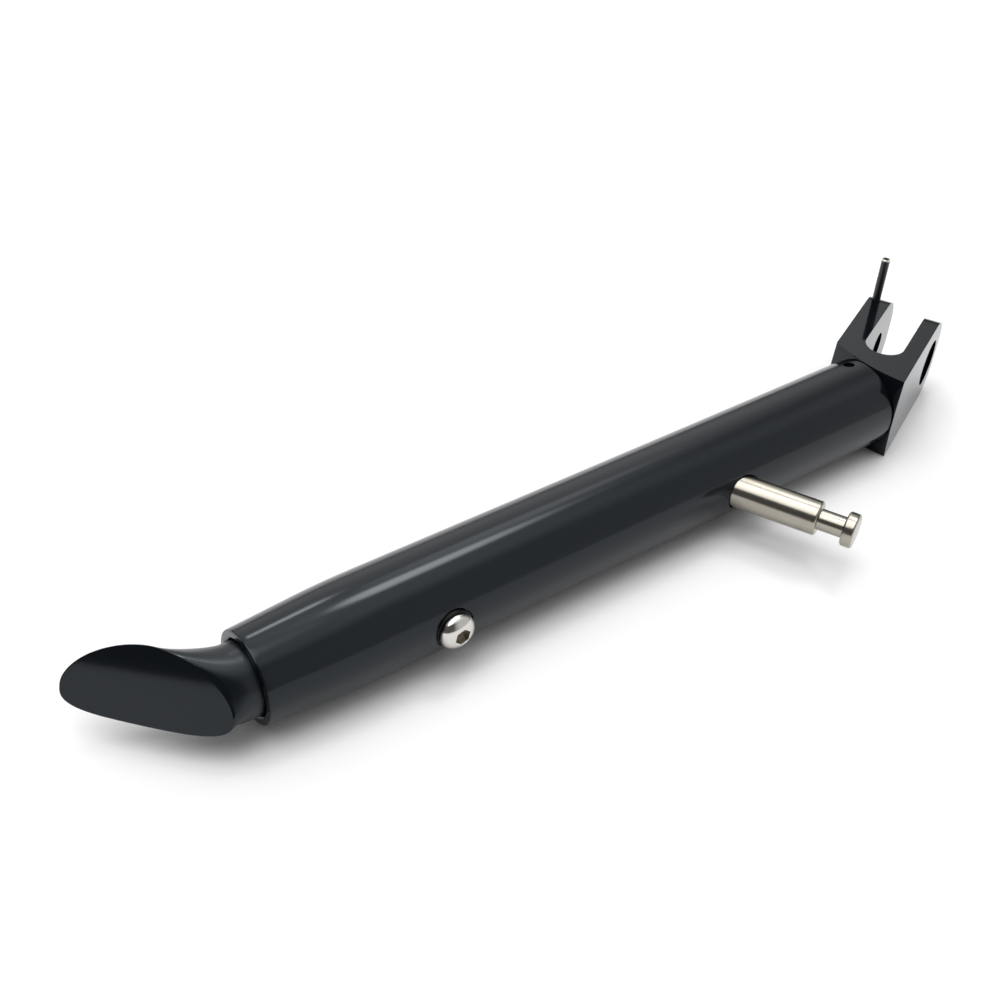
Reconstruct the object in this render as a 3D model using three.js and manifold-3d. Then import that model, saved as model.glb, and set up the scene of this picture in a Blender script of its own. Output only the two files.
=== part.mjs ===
// Length-adjustable motorcycle kickstand: tube, angled fork, sliding foot and small hardware.
// Millimetres. +X runs from the foot to the fork, +Z is up, the stud side is -Y.
import * as THREE from 'three';
import { mergeVertices } from 'three/addons/utils/BufferGeometryUtils.js';
import Module from 'manifold-3d';

const wasm = await Module();
wasm.setup();

// ---- driving dimensions ----
const TUBE_RADIUS = 15.0;
const TUBE_BORE_RADIUS = 10.85;
const TUBE_LENGTH = 231.2;
const TAPER_LENGTH = 20.0;
const TAPER_BLEND = 16.0;
const TAPER_SLOPE = 0.062;
const MOUTH_CHAMFER = 0.6;

const SHAFT_RADIUS = 10.4;
const SHAFT_INNER_END = 116.0;
const NECK_START = -3.0;
const NECK_POWER = 1.6;
const NECK_FAR_POWER = 1.15;
const NECK_STEPS = 32;
const FACE_NORMAL = new THREE.Vector3(-0.664, -0.626, 0.41).normalize();
const FACE_DISTANCE = 12.37;
const RIM_SIDE_OFFSET = -21.5;
const RIM_RISE_OFFSET = -5.0;
const RIM_NEAR_REACH = 23.5;
const RIM_FAR_REACH = 22.3;
const RIM_TOP_REACH = 14.8;
const RIM_BOTTOM_REACH = 6.8;
const RIM_TOP_POWER = 1.7;
const RIM_BOTTOM_POWER = 3.3;
const RIM_TILT_DEG = -2.5;
const SLOT_TRAVEL = 50.0;
const SLOT_WIDTH = 7.0;
const SLOT_FLOOR = 7.7;

const LOCK_X = 54.6;
const LOCK_ANGLE_DEG = 180.0;
const LOCK_SPOT_RADIUS = 6.1;
const LOCK_SPOT_FLOOR = 13.3;
const LOCK_HOLE_RADIUS = 3.25;
const LOCK_SHANK_RADIUS = 2.9;
const LOCK_TIP = 8.1;
const LOCK_HEAD_BASE = 15.4;
const LOCK_HEAD_RADIUS = 5.4;
const LOCK_HEAD_HEIGHT = 3.3;
const LOCK_HEX_FLATS = 4.3;
const LOCK_HEX_CORNER_DEG = 17.0;
const LOCK_HEX_DEPTH = 2.1;
const WASHER_OUTER = 5.65;
const WASHER_INNER = 3.3;
const WASHER_BASE = 13.6;
const WASHER_THICKNESS = 1.5;
const WASHER_SPLIT = 0.9;

const STUD_X = 156.25;
const STUD_HOLE_RADIUS = 5.85;
const STUD_CLEAR_RADIUS = 11.2;
const STUD_BODY_RADIUS = 5.38;
const STUD_BODY_END = 40.5;
const STUD_NECK_RADIUS = 3.3;
const STUD_HEAD_BASE = 48.4;
const STUD_HEAD_END = 51.9;
const STUD_CHAMFER = 0.45;

const FORK_YAW_DEG = 24.2;
const FORK_CORNER = new THREE.Vector3(233.3, -14.44, 15.0);
const FORK_WIDTH = 26.8;
const FORK_HEIGHT = 30.0;
const FORK_SHORT_EAR = 54.9;
const FORK_LONG_EAR = 59.1;
const FORK_NOSE_RADIUS = 12.2;
const FORK_EAR_SPLIT = 12.25;
const FORK_REAR_PLANE = 231.5;
const FORK_REAR_SLOPE = 0.33;
const FORK_SLOT_WIDTH = 13.1;
const FORK_SLOT_BOTTOM = 13.4;
const PIVOT_HOLE_RADIUS = 8.3;
const PIVOT_FAR_RADIUS = 5.4;
const PIVOT_HOLE_REACH = 42.65;
const SPIGOT_RADIUS = 10.5;
const SPIGOT_START = 204.0;

const GRUB_X = 226.4;
const GRUB_ANGLE_DEG = 77.2;
const GRUB_HOLE_RADIUS = 1.9;
const GRUB_RADIUS = 1.55;
const GRUB_TIP = 7.6;
const GRUB_TOP = 14.0;
const GRUB_POCKET_FLOOR = 7.2;
const GRUB_HEX_FLATS = 1.7;

const PIN_SIDE = 24.0;
const PIN_REACH = 48.3;
const PIN_RADIUS = 1.45;
const PIN_BORE_RADIUS = 0.85;
const PIN_HOLE_RADIUS = 1.8;
const PIN_RISE = 16.5;
const PIN_BURIED = 5.6;
const PIN_SPLIT = 0.5;

const ROUND = 72;
const SMALL_ROUND = 40;
const RAD = Math.PI / 180;

// ---- solid helpers ----
function solid(geometry) {
  const bare = geometry.clone();
  bare.deleteAttribute('normal');
  bare.deleteAttribute('uv');
  const merged = mergeVertices(bare, 1e-5);
  const positions = new Float32Array(merged.attributes.position.array);
  const triangles = dropSlivers(merged.index.array);
  const body = makeManifold(positions, triangles);
  if (body.volume() > 0) {
    return body;
  }
  return makeManifold(positions, flipped(triangles));
}

function makeManifold(vertProperties, triVerts) {
  return new wasm.Manifold(new wasm.Mesh({ numProp: 3, vertProperties, triVerts }));
}

function dropSlivers(index) {
  const kept = [];
  for (let i = 0; i < index.length; i += 3) {
    const [a, b, c] = [index[i], index[i + 1], index[i + 2]];
    if (a !== b && b !== c && a !== c) {
      kept.push(a, b, c);
    }
  }
  return new Uint32Array(kept);
}

function flipped(index) {
  const turned = new Uint32Array(index.length);
  for (let i = 0; i < index.length; i += 3) {
    turned[i] = index[i];
    turned[i + 1] = index[i + 2];
    turned[i + 2] = index[i + 1];
  }
  return turned;
}

function toGeometry(body) {
  const mesh = body.getMesh();
  const geometry = new THREE.BufferGeometry();
  geometry.setAttribute('position', new THREE.BufferAttribute(mesh.vertProperties, 3));
  geometry.setIndex(new THREE.BufferAttribute(mesh.triVerts, 1));
  const loose = geometry.toNonIndexed();
  loose.computeVertexNormals();
  return loose;
}

// ---- shape helpers ----
// Turned shape about +X from [radius, x] pairs.
function turnedAlongX(pairs, segments = ROUND) {
  const points = pairs.map(([radius, x]) => new THREE.Vector2(radius, x));
  const geometry = new THREE.LatheGeometry(points, segments);
  geometry.rotateZ(-Math.PI / 2);
  return geometry;
}

// Turned shape about a line that leaves the tube axis at (x, angle): [radius, distance from axis].
function turnedRadial(pairs, x, angleDeg, segments = SMALL_ROUND) {
  const points = pairs.map(([radius, reach]) => new THREE.Vector2(radius, reach));
  const geometry = new THREE.LatheGeometry(points, segments);
  geometry.rotateX(Math.PI / 2);
  return aimRadial(geometry, x, angleDeg);
}

// Carries a shape built along +Z onto the radial line at (x, angle).
function aimRadial(geometry, x, angleDeg) {
  geometry.rotateX((angleDeg - 90) * RAD);
  geometry.translate(x, 0, 0);
  return geometry;
}

// Carries a shape built along +Z onto the line that leaves the tube axis square to the fork's ears.
function aimAcross(geometry, x) {
  geometry.rotateX(Math.PI / 2);
  geometry.rotateZ(FORK_YAW_DEG * RAD);
  geometry.translate(x, 0, 0);
  return geometry;
}

function plug(radius, from, to, x, angleDeg, segments = SMALL_ROUND) {
  return turnedRadial([[0, from], [radius, from], [radius, to], [0, to]], x, angleDeg, segments);
}

// Hexagonal socket along +Z between two levels.
function hexPrism(flats, from, to, cornerDeg) {
  const shape = new THREE.Shape();
  const corner = flats / Math.sqrt(3);
  for (let i = 0; i < 6; i += 1) {
    const angle = (i * 60 + cornerDeg) * RAD;
    const point = [corner * Math.cos(angle), corner * Math.sin(angle)];
    if (i === 0) {
      shape.moveTo(...point);
    } else {
      shape.lineTo(...point);
    }
  }
  shape.closePath();
  const geometry = new THREE.ExtrudeGeometry(shape, { depth: to - from, bevelEnabled: false });
  geometry.translate(0, 0, from);
  return geometry;
}

// Fork axes: across the ears, along the ears, up.
const forkAcross = new THREE.Vector3(Math.sin(FORK_YAW_DEG * RAD), -Math.cos(FORK_YAW_DEG * RAD), 0);
const forkAlong = new THREE.Vector3(Math.cos(FORK_YAW_DEG * RAD), Math.sin(FORK_YAW_DEG * RAD), 0);
const forkUp = new THREE.Vector3(0, 0, 1);

function inFork(geometry, xAxis, yAxis, zAxis) {
  const place = new THREE.Matrix4().makeBasis(xAxis, yAxis, zAxis).setPosition(FORK_CORNER);
  geometry.applyMatrix4(place);
  return geometry;
}

// ---- main tube ----
function taperRadius(x) {
  const blendStart = TAPER_LENGTH;
  const blendEnd = TAPER_LENGTH + TAPER_BLEND;
  if (x >= blendEnd) {
    return TUBE_RADIUS;
  }
  const curve = TAPER_SLOPE / (2 * TAPER_BLEND);
  if (x >= blendStart) {
    return TUBE_RADIUS - curve * (blendEnd - x) ** 2;
  }
  return TUBE_RADIUS - curve * TAPER_BLEND ** 2 - TAPER_SLOPE * (blendStart - x);
}

function tubeProfile() {
  const profile = [[TUBE_BORE_RADIUS + 0.3, 0], [taperRadius(0) - MOUTH_CHAMFER, 0]];
  profile.push([taperRadius(MOUTH_CHAMFER), MOUTH_CHAMFER], [taperRadius(TAPER_LENGTH), TAPER_LENGTH]);
  const blendSteps = 6;
  for (let i = 1; i <= blendSteps; i += 1) {
    const x = TAPER_LENGTH + (TAPER_BLEND * i) / blendSteps;
    profile.push([taperRadius(x), x]);
  }
  profile.push([TUBE_RADIUS, TUBE_LENGTH - 0.4], [TUBE_RADIUS - 0.4, TUBE_LENGTH]);
  profile.push([TUBE_BORE_RADIUS, TUBE_LENGTH], [TUBE_BORE_RADIUS, 0.3]);
  profile.push(profile[0]);
  return profile;
}

// Hole through the wall on the stud's side, along the stud.
function studHole() {
  const geometry = new THREE.CylinderGeometry(STUD_HOLE_RADIUS, STUD_HOLE_RADIUS, 26, 56);
  geometry.rotateX(Math.PI / 2);
  geometry.translate(0, 0, 17);
  return aimAcross(geometry, STUD_X);
}

function mainTube() {
  const outside = TUBE_RADIUS + 5;
  const blank = solid(turnedAlongX(tubeProfile()));
  const cutters = [
    plug(LOCK_SPOT_RADIUS, LOCK_SPOT_FLOOR, outside, LOCK_X, LOCK_ANGLE_DEG),
    plug(LOCK_HOLE_RADIUS, 5, outside, LOCK_X, LOCK_ANGLE_DEG),
    studHole(),
    plug(GRUB_HOLE_RADIUS, 5, outside, GRUB_X, GRUB_ANGLE_DEG),
  ];
  return cutters.reduce((body, cutter) => body.subtract(solid(cutter)), blank);
}

// ---- foot: sliding shaft whose neck flares into the flat ground pad ----
// In the ground face: one direction level with the ground, one rising.
const faceSide = new THREE.Vector3(0, 0, 1).cross(FACE_NORMAL).normalize();
const faceRise = FACE_NORMAL.clone().cross(faceSide);

function onFace(side, rise) {
  return FACE_NORMAL.clone()
    .multiplyScalar(FACE_DISTANCE)
    .addScaledVector(faceSide, RIM_SIDE_OFFSET + side)
    .addScaledVector(faceRise, RIM_RISE_OFFSET + rise);
}

// Rounded outline of the pad, fuller above its long axis than below it.
function rimPoint(angle) {
  const side = Math.cos(angle);
  const rise = Math.sin(angle);
  const across = side > 0 ? RIM_NEAR_REACH : RIM_FAR_REACH;
  const height = rise > 0 ? RIM_TOP_REACH : RIM_BOTTOM_REACH;
  const power = rise > 0 ? RIM_TOP_POWER : RIM_BOTTOM_POWER;
  const sum = Math.abs(side / across) ** power + Math.abs(rise / height) ** power;
  const reach = sum ** (-1 / power);
  const tilt = RIM_TILT_DEG * RAD;
  const turnedSide = reach * Math.cos(angle + tilt);
  const turnedRise = reach * Math.sin(angle + tilt);
  return onFace(turnedSide, turnedRise);
}

// Angle in the ground face that lies over a direction seen along the shaft.
function faceAngle(y, z) {
  const rise = z / faceRise.z;
  const side = (y - rise * faceRise.y) / faceSide.y;
  return Math.atan2(rise, side);
}

function foot() {
  const profile = [[0, SHAFT_INNER_END], [SHAFT_RADIUS - 1, SHAFT_INNER_END]];
  profile.push([SHAFT_RADIUS, SHAFT_INNER_END - 1]);
  for (let i = 0; i <= NECK_STEPS; i += 1) {
    profile.push([SHAFT_RADIUS, NECK_START - i]);
  }
  profile.push([0, NECK_START - NECK_STEPS]);
  const geometry = turnedAlongX(profile);
  const spot = geometry.attributes.position;
  for (let i = 0; i < spot.count; i += 1) {
    const share = (NECK_START - spot.getX(i)) / NECK_STEPS;
    if (share <= 0) {
      continue;
    }
    const y = spot.getY(i);
    const z = spot.getZ(i);
    const onRim = Math.hypot(y, z) > 0.5 * SHAFT_RADIUS;
    const angle = faceAngle(y, z);
    const end = onRim ? rimPoint(angle) : onFace(0, 0);
    const farness = Math.max(0, -Math.cos(angle));
    const bend = share ** (NECK_POWER + (NECK_FAR_POWER - NECK_POWER) * farness);
    spot.setX(i, NECK_START + (end.x - NECK_START) * share);
    spot.setY(i, y + (end.y - y) * bend);
    spot.setZ(i, z + (end.z - z) * bend);
  }
  return solid(geometry).subtract(solid(shaftSlot()));
}

// Closed-end groove along the shaft for the tip of the lock screw.
function shaftSlot() {
  const half = SLOT_WIDTH / 2;
  const shape = new THREE.Shape();
  shape.moveTo(0, -half);
  shape.lineTo(SLOT_TRAVEL, -half);
  shape.absarc(SLOT_TRAVEL, 0, half, -Math.PI / 2, Math.PI / 2, false);
  shape.lineTo(0, half);
  shape.absarc(0, 0, half, Math.PI / 2, 1.5 * Math.PI, false);
  const settings = { depth: SHAFT_RADIUS, bevelEnabled: false, curveSegments: 12 };
  const geometry = new THREE.ExtrudeGeometry(shape, settings);
  geometry.translate(0, 0, SLOT_FLOOR);
  return aimRadial(geometry, LOCK_X, LOCK_ANGLE_DEG);
}

// ---- fork ----
function forkSlab(reach, fromSide, toSide) {
  const rear = -30;
  const nose = reach - FORK_NOSE_RADIUS;
  const shape = new THREE.Shape();
  shape.moveTo(rear, 0);
  shape.lineTo(rear, -FORK_HEIGHT);
  shape.lineTo(nose, -FORK_HEIGHT);
  shape.absarc(nose, -FORK_HEIGHT + FORK_NOSE_RADIUS, FORK_NOSE_RADIUS, -Math.PI / 2, 0, false);
  shape.absarc(nose, -FORK_NOSE_RADIUS, FORK_NOSE_RADIUS, 0, Math.PI / 2, false);
  shape.closePath();
  const settings = { depth: toSide - fromSide, bevelEnabled: false, curveSegments: 14 };
  const geometry = new THREE.ExtrudeGeometry(shape, settings);
  geometry.translate(0, 0, fromSide);
  return inFork(geometry, forkAlong, forkUp, forkAcross);
}

function forkSlot() {
  const half = FORK_SLOT_WIDTH / 2;
  const shape = new THREE.Shape();
  shape.moveTo(half, FORK_LONG_EAR + 10);
  shape.lineTo(-half, FORK_LONG_EAR + 10);
  shape.lineTo(-half, FORK_SLOT_BOTTOM + half);
  shape.absarc(0, FORK_SLOT_BOTTOM + half, half, Math.PI, 2 * Math.PI, false);
  shape.closePath();
  const settings = { depth: FORK_HEIGHT + 4, bevelEnabled: false, curveSegments: 24 };
  const geometry = new THREE.ExtrudeGeometry(shape, settings);
  geometry.translate(-FORK_EAR_SPLIT, 0, -FORK_HEIGHT - 2);
  return inFork(geometry, forkAcross, forkAlong, forkUp);
}

// Round hole through one ear, between two distances across the fork.
function pivotBore(radius, from, to) {
  const geometry = new THREE.CylinderGeometry(radius, radius, to - from, 64);
  geometry.rotateX(Math.PI / 2);
  geometry.translate(PIVOT_HOLE_REACH, -FORK_HEIGHT / 2, (from + to) / 2);
  return inFork(geometry, forkAlong, forkUp, forkAcross);
}

// Everything behind the turned rear face of the fork block.
function rearCut() {
  const wide = 60;
  const start = 150;
  const edge = FORK_REAR_PLANE + FORK_REAR_SLOPE * (wide - TUBE_RADIUS);
  return turnedAlongX([
    [0, start],
    [wide, start],
    [wide, edge],
    [TUBE_RADIUS, FORK_REAR_PLANE],
    [0, FORK_REAR_PLANE],
  ]);
}

function spigot() {
  return turnedAlongX([
    [0, SPIGOT_START],
    [SPIGOT_RADIUS - 0.8, SPIGOT_START],
    [SPIGOT_RADIUS, SPIGOT_START + 0.8],
    [SPIGOT_RADIUS, FORK_REAR_PLANE + 6],
    [0, FORK_REAR_PLANE + 6],
  ]);
}

function forkPin(radius, from, to) {
  const geometry = new THREE.CylinderGeometry(radius, radius, to - from, 28);
  geometry.rotateX(Math.PI / 2);
  geometry.translate(-PIN_SIDE, PIN_REACH, (from + to) / 2);
  return inFork(geometry, forkAcross, forkAlong, forkUp);
}

function clevisFork() {
  const shortEar = solid(forkSlab(FORK_SHORT_EAR, -FORK_EAR_SPLIT - 0.5, 0));
  const longEar = solid(forkSlab(FORK_LONG_EAR, -FORK_WIDTH, -FORK_EAR_SPLIT));
  return shortEar
    .add(longEar)
    .subtract(solid(rearCut()))
    .add(solid(spigot()))
    .subtract(solid(forkSlot()))
    .subtract(solid(pivotBore(PIVOT_HOLE_RADIUS, -FORK_EAR_SPLIT, 10)))
    .subtract(solid(pivotBore(PIVOT_FAR_RADIUS, -FORK_WIDTH - 10, -FORK_EAR_SPLIT)))
    .subtract(solid(plug(GRUB_HOLE_RADIUS, GRUB_POCKET_FLOOR, 20, GRUB_X, GRUB_ANGLE_DEG)))
    .subtract(solid(forkPin(PIN_HOLE_RADIUS, -PIN_BURIED - 0.4, 2)));
}

// ---- hardware ----
function setScrew() {
  const chamfer = 0.35;
  const blank = turnedRadial([
    [0, GRUB_TIP],
    [GRUB_RADIUS - chamfer, GRUB_TIP],
    [GRUB_RADIUS, GRUB_TIP + chamfer],
    [GRUB_RADIUS, GRUB_TOP - chamfer],
    [GRUB_RADIUS - chamfer, GRUB_TOP],
    [0, GRUB_TOP],
  ], GRUB_X, GRUB_ANGLE_DEG, 28);
  const hex = hexPrism(GRUB_HEX_FLATS, GRUB_TOP - 1.8, GRUB_TOP + 1, 30);
  const socket = aimRadial(hex, GRUB_X, GRUB_ANGLE_DEG);
  return solid(blank).subtract(solid(socket));
}

function lockScrew() {
  const profile = [[0, LOCK_TIP], [LOCK_SHANK_RADIUS - 0.6, LOCK_TIP]];
  profile.push([LOCK_SHANK_RADIUS, LOCK_TIP + 0.6], [LOCK_SHANK_RADIUS, LOCK_HEAD_BASE]);
  profile.push([LOCK_HEAD_RADIUS, LOCK_HEAD_BASE]);
  const rim = 0.45;
  const steps = 9;
  const sweep = 62 * RAD;
  for (let i = 0; i <= steps; i += 1) {
    const angle = (sweep * i) / steps;
    const rise = ((LOCK_HEAD_HEIGHT - rim) * Math.sin(angle)) / Math.sin(sweep);
    profile.push([LOCK_HEAD_RADIUS * Math.cos(angle), LOCK_HEAD_BASE + rim + rise]);
  }
  profile.push([0, LOCK_HEAD_BASE + LOCK_HEAD_HEIGHT]);
  const top = LOCK_HEAD_BASE + LOCK_HEAD_HEIGHT;
  const hex = hexPrism(LOCK_HEX_FLATS, top - LOCK_HEX_DEPTH, top + 1, LOCK_HEX_CORNER_DEG);
  const socket = aimRadial(hex, LOCK_X, LOCK_ANGLE_DEG);
  return solid(turnedRadial(profile, LOCK_X, LOCK_ANGLE_DEG)).subtract(solid(socket));
}

function lockWasher() {
  const top = WASHER_BASE + WASHER_THICKNESS;
  const ring = turnedRadial([
    [WASHER_INNER, WASHER_BASE],
    [WASHER_OUTER, WASHER_BASE],
    [WASHER_OUTER, top],
    [WASHER_INNER, top],
    [WASHER_INNER, WASHER_BASE],
  ], LOCK_X, LOCK_ANGLE_DEG);
  const split = new THREE.BoxGeometry(WASHER_SPLIT, WASHER_OUTER * 2, 10);
  split.translate(0, -WASHER_OUTER, WASHER_BASE);
  return solid(ring).subtract(solid(aimRadial(split, LOCK_X, LOCK_ANGLE_DEG)));
}

function springStud() {
  const c = STUD_CHAMFER;
  const pairs = [
    [0, 4],
    [STUD_BODY_RADIUS, 4],
    [STUD_BODY_RADIUS, STUD_BODY_END - c],
    [STUD_BODY_RADIUS - c, STUD_BODY_END],
    [STUD_NECK_RADIUS, STUD_BODY_END],
    [STUD_NECK_RADIUS, STUD_HEAD_BASE],
    [STUD_BODY_RADIUS - c, STUD_HEAD_BASE],
    [STUD_BODY_RADIUS, STUD_HEAD_BASE + c],
    [STUD_BODY_RADIUS, STUD_HEAD_END - c],
    [STUD_BODY_RADIUS - c, STUD_HEAD_END],
    [0, STUD_HEAD_END],
  ];
  const points = pairs.map(([radius, reach]) => new THREE.Vector2(radius, reach));
  const geometry = new THREE.LatheGeometry(points, 56);
  geometry.rotateX(Math.PI / 2);
  const clear = new THREE.CylinderGeometry(STUD_CLEAR_RADIUS, STUD_CLEAR_RADIUS, 60, ROUND);
  clear.rotateZ(Math.PI / 2);
  clear.translate(STUD_X, 0, 0);
  return solid(aimAcross(geometry, STUD_X)).subtract(solid(clear));
}

function switchPin() {
  const split = new THREE.BoxGeometry(PIN_SPLIT, PIN_RADIUS * 2, 60);
  split.translate(-PIN_SIDE, PIN_REACH + PIN_RADIUS, 0);
  return solid(forkPin(PIN_RADIUS, -PIN_BURIED, PIN_RISE))
    .subtract(solid(forkPin(PIN_BORE_RADIUS, -PIN_BURIED - 1, PIN_RISE + 1)))
    .subtract(solid(inFork(split, forkAcross, forkAlong, forkUp)));
}

// ---- assembly ----
const pieces = [
  ['main_tube', mainTube, 0x26282c, 0.35],
  ['clevis_fork', clevisFork, 0x2a2c30, 0.3],
  ['clevis_set_screw', setScrew, 0x1c1c1e, 0.5],
  ['foot', foot, 0x26282c, 0.3],
  ['length_lock_screw', lockScrew, 0xcfccc4, 0.25],
  ['lock_washer', lockWasher, 0x141416, 0.5],
  ['spring_stud', springStud, 0xb9b09c, 0.3],
  ['switch_pin', switchPin, 0x1d1f22, 0.4],
];

const group = new THREE.Group();
group.name = 'kickstand';
for (const [name, build, color, roughness] of pieces) {
  const material = new THREE.MeshStandardMaterial({ color, metalness: 0.9, roughness });
  const mesh = new THREE.Mesh(toGeometry(build()), material);
  mesh.name = name;
  group.add(mesh);
}

// Rest the assembly on z = 0 with the middle of its footprint on the origin.
const bounds = new THREE.Box3().setFromObject(group);
const middle = bounds.getCenter(new THREE.Vector3());
for (const mesh of group.children) {
  mesh.geometry.translate(-middle.x, -middle.y, -bounds.min.z);
}

export default group;
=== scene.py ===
"""Length-adjustable motorcycle kickstand lying on a pale studio table."""

import math

import bmesh
import bpy
from mathutils import Euler, Matrix, Vector


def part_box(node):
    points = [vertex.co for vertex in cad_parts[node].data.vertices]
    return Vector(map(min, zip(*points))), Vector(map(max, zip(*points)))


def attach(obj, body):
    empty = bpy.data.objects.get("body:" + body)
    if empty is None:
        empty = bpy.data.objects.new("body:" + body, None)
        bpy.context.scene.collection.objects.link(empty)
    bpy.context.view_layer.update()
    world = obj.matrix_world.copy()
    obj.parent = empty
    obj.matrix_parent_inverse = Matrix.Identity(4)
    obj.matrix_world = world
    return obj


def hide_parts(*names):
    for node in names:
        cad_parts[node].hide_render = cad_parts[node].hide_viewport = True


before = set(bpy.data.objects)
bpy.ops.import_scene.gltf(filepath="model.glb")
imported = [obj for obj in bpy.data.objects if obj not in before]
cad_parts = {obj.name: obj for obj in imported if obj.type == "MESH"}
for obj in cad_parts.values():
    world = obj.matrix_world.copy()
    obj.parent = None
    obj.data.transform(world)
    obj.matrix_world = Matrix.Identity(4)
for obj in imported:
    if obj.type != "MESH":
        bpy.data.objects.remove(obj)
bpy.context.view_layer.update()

MM = 0.001

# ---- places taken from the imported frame, in millimetres ----
tube_low, tube_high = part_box("main_tube")
foot_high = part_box("foot")[1]
TUBE_MOUTH = tube_low.x / MM
TUBE_END = tube_high.x / MM
TUBE_RADIUS = (tube_high.z - tube_low.z) / MM / 2
AXIS_Y = (tube_low.y + tube_high.y) / MM / 2
AXIS_Z = (tube_low.z + tube_high.z) / MM / 2
SHAFT_END = foot_high.x / MM
screw_low, screw_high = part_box("length_lock_screw")
LOCK_X = (screw_low.x + screw_high.x) / MM / 2
grub_low, grub_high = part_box("clevis_set_screw")
GRUB_X = (grub_low.x + grub_high.x) / MM / 2
pin_low, pin_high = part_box("switch_pin")
PIN_X = (pin_low.x + pin_high.x) / MM / 2
PIN_Y = (pin_low.y + pin_high.y) / MM / 2
PIN_FOOT = pin_low.z / MM
PIN_TIP = pin_high.z / MM

MOUTH = Vector((TUBE_MOUTH, AXIS_Y, AXIS_Z))

# ---- tube ----
BORE_RADIUS = 10.85
TAPER_LENGTH = 20.0
TAPER_BLEND = 16.0
TAPER_SLOPE = 0.062
TUBE_CHAMFER = 0.45
BORE_END_CHAMFER = 0.3
BORE_MOUTH_CHAMFER = 0.4
RING_STEP = 1.6

# ---- foot ----
SHAFT_RADIUS = 10.4
SHAFT_CHAMFER = 1.0
NECK_START = TUBE_MOUTH - 3.0
NECK_POWER = 1.6
NECK_FAR_POWER = 1.15
FACE_NORMAL = Vector((-0.664, -0.626, 0.41)).normalized()
FACE_SIDE = Vector((0, 0, 1)).cross(FACE_NORMAL).normalized()
FACE_RISE = FACE_NORMAL.cross(FACE_SIDE)
FACE_DISTANCE = 12.37
RIM_SIDE_OFFSET = -21.5
RIM_RISE_OFFSET = -5.0
RIM_NEAR_REACH = 23.5
RIM_FAR_REACH = 22.3
RIM_TOP_REACH = 14.8
RIM_BOTTOM_REACH = 6.8
RIM_TOP_POWER = 1.7
RIM_BOTTOM_POWER = 3.3
RIM_TILT = math.radians(-2.5)
RIM_ROUNDING = 0.5
POLISH_START = 0.6
POLISH_END = 0.2
FOOT_SMOOTH_ANGLE = 40.0
KEYWAY_WIDTH = 7.0
KEYWAY_FLOOR = 7.7
KEYWAY_TRAVEL = 50.0

# ---- fork ----
FORK_YAW = math.radians(24.2)
FORK_WIDTH = 26.8
FORK_HEIGHT = 30.0
FORK_CORNER = Vector((TUBE_MOUTH + 233.3, AXIS_Y - 14.44, AXIS_Z + 15.0))
SHORT_EAR = 54.9
LONG_EAR = 59.1
NOSE_RADIUS = 12.2
SLOT_CENTRE = 12.25
SLOT_WIDTH = 13.1
SLOT_BOTTOM = 13.4
PIVOT_REACH = 42.65
PIVOT_RADIUS = 8.3
PIVOT_FAR_RADIUS = 5.4
REAR_PLANE = TUBE_END + 0.3
REAR_SLOPE = 0.33
FORK_EDGE = 0.3
SPIGOT_RADIUS = 10.5
SPIGOT_LENGTH = 27.5
SPIGOT_CHAMFER = 0.8
ACROSS = Vector((math.sin(FORK_YAW), -math.cos(FORK_YAW), 0))
ALONG = Vector((math.cos(FORK_YAW), math.sin(FORK_YAW), 0))
UP = Vector((0, 0, 1))

# ---- set screw ----
GRUB_ANGLE = 77.2
GRUB_HOLE_RADIUS = 1.9
GRUB_HOLE_FLOOR = 7.2
GRUB_RADIUS = 1.55
GRUB_TIP = 7.6
GRUB_TOP = 14.0
GRUB_EDGE = 0.3
GRUB_HEX_FLATS = 1.7
GRUB_HEX_CORNER = 30.0
GRUB_HEX_FLOOR = 12.2

# ---- lock screw and washer ----
LOCK_ANGLE = 180.0
LOCK_SPOT_RADIUS = 6.1
LOCK_SPOT_FLOOR = 13.3
LOCK_HOLE_RADIUS = 3.25
LOCK_TIP = 8.1
LOCK_TIP_RADIUS = 2.3
LOCK_TIP_CHAMFER_END = 8.7
LOCK_SHANK_RADIUS = 2.9
LOCK_HEAD_BASE = 15.4
LOCK_HEAD_HEIGHT = 3.3
LOCK_HEAD_RADIUS = 5.4
LOCK_HEAD_RIM = 0.45
LOCK_HEAD_EDGE_INSET = 0.25
LOCK_HEAD_EDGE_RISE = 0.2
LOCK_HEAD_SWEEP = math.radians(62)
LOCK_HEX_FLATS = 4.3
LOCK_HEX_CORNER = 17.0
LOCK_HEX_DEPTH = 2.1
LOCK_DRILL_RADIUS = 2.05
LOCK_DRILL_DEPTH = 1.9
LOCK_DRILL_POINT = 3.0
LOCK_EDGE = 0.12
LOCK_EDGE_ANGLE = 38.0
# painted shade in the lock screw's socket: radii from the screw axis, then depths below the head
# top
SOCKET_INNER_EDGE = 2.52
SOCKET_OUTER_EDGE = 2.62
SOCKET_SHADE_START = 0.04
SOCKET_SHADE_END = 0.18
WASHER_BASE = 13.6
WASHER_TOP = 15.1
WASHER_INNER = 3.3
WASHER_OUTER = 5.65
WASHER_EDGE = 0.25
WASHER_HALF_SPLIT = 0.45

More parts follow.
